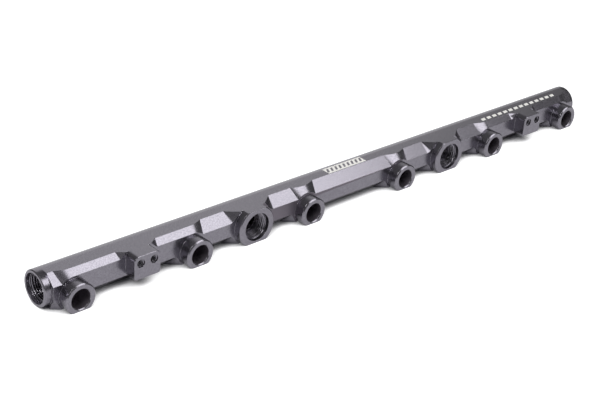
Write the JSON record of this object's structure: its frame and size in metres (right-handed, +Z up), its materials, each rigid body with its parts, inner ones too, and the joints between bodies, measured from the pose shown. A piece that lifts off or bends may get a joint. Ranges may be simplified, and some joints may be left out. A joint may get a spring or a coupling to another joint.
{
  "type": "fuel rail",
  "caption": "Milled aluminium fuel rail with round back, injector bosses, threaded front and end ports, and drilled mounting pads.",
  "frame": {"origin": "middle of the rail's box in X and Y, on the flat underside", "axes": "+X along the rail, the injector bosses and front ports face -Y, +Z up"},
  "size_m": [0.515, 0.0352, 0.0245],
  "materials": {
    "anodised_aluminium": "satin black anodised, fine milling marks"
  },
  "bodies": {
    "root": {"fuel_rail": "anodised_aluminium"}
  },
  "joints": []
}
